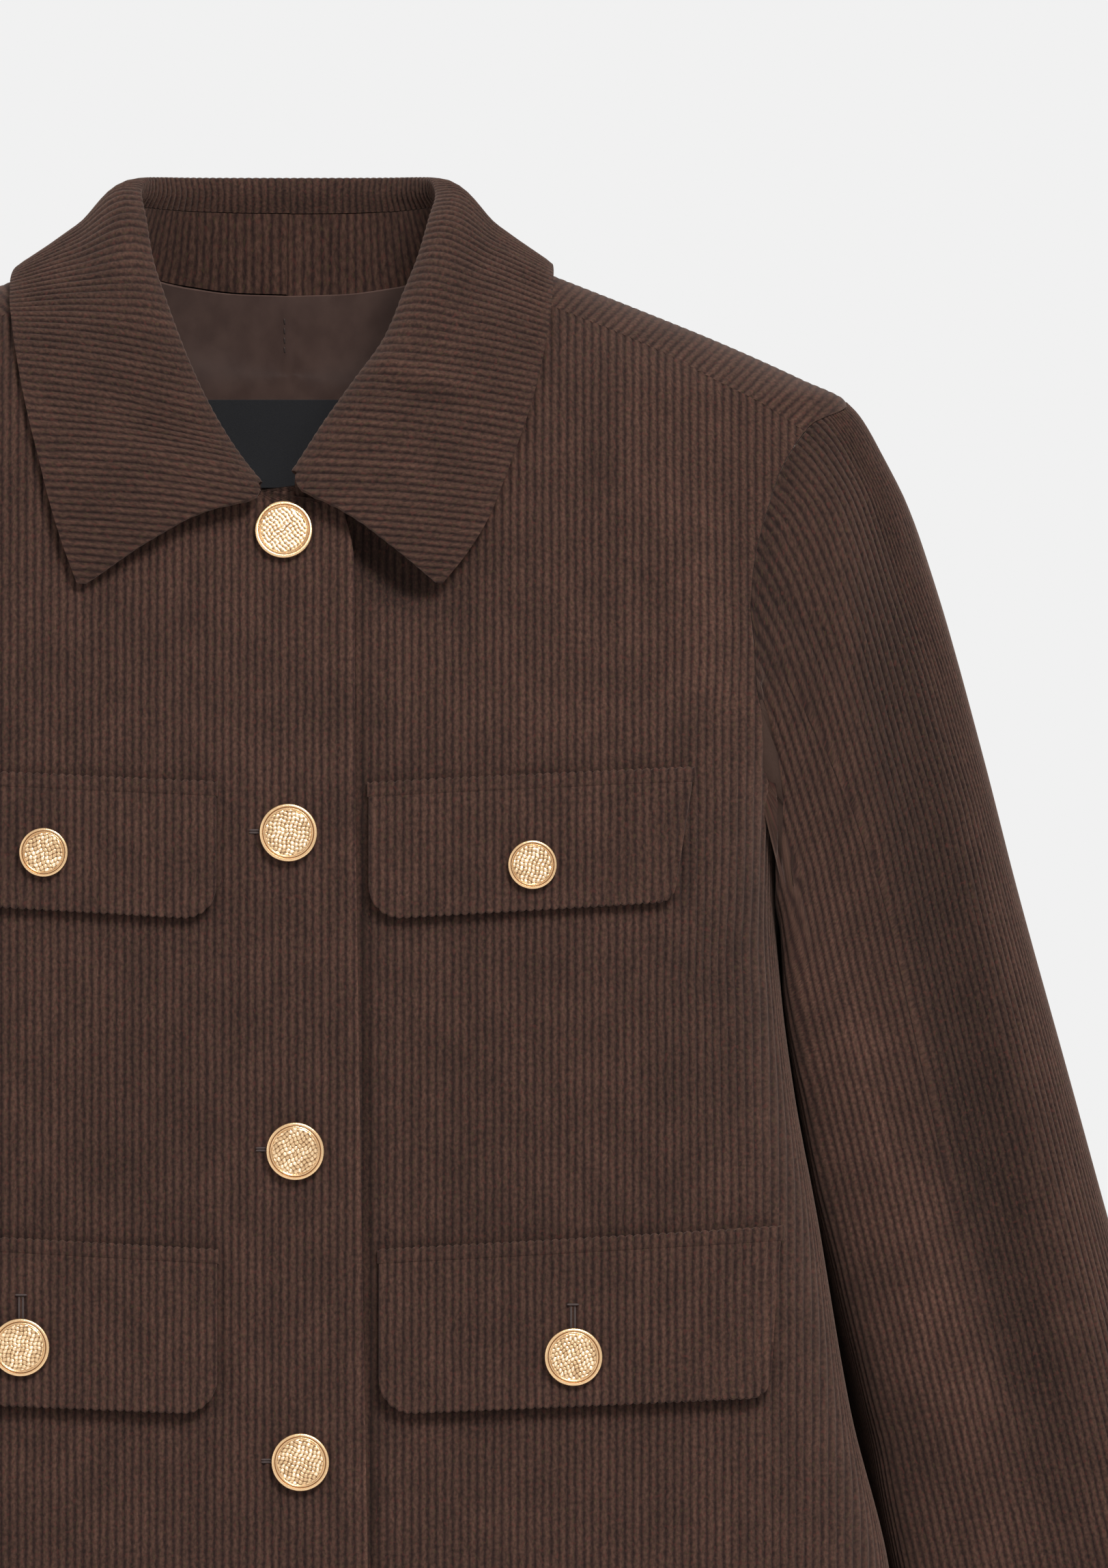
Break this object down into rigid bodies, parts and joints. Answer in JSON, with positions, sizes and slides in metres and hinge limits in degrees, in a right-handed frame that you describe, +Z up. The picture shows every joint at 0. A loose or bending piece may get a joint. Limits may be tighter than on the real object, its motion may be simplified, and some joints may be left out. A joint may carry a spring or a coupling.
{
  "type": "corduroy jacket",
  "caption": "Short straight corduroy jacket with a turned-down collar, buttoned front, buttoned pocket flaps and long open sleeves, filled out as if worn.",
  "frame": {"origin": "midway between the neck ends of the two shoulder tops, where the jacket hangs on its wearer or a hanger", "axes": "+Z up; the jacket's front faces -Y; +X is towards the wearer's left"},
  "size_m": [0.732, 0.2078, 0.6691],
  "materials": {
    "corduroy": "reddish brown cotton corduroy, wales 3 mm apart, cut pile",
    "satin": "brown satin lining",
    "ribbon": "plain black woven label",
    "gold_metal": "bright pale gold metal with a woven relief inside a raised rim"
  },
  "bodies": {
    "root": {"front_left": "corduroy", "front_right": "corduroy", "back": "corduroy", "sleeve_left": "corduroy", "sleeve_right": "corduroy", "collar_stand": "corduroy", "collar_leaf": "corduroy", "neck_lining": "satin", "neck_label": "ribbon", "flap_chest_left": "corduroy", "welt_chest_left": "corduroy", "flap_chest_right": "corduroy", "welt_chest_right": "corduroy", "flap_hip_left": "corduroy", "welt_hip_left": "corduroy", "flap_hip_right": "corduroy", "welt_hip_right": "corduroy", "button_front_1": "gold_metal", "button_front_2": "gold_metal", "button_front_3": "gold_metal", "button_front_4": "gold_metal", "button_front_5": "gold_metal", "button_chest_left": "gold_metal", "button_chest_right": "gold_metal", "button_hip_left": "gold_metal", "button_hip_right": "gold_metal"}
  },
  "joints": []
}
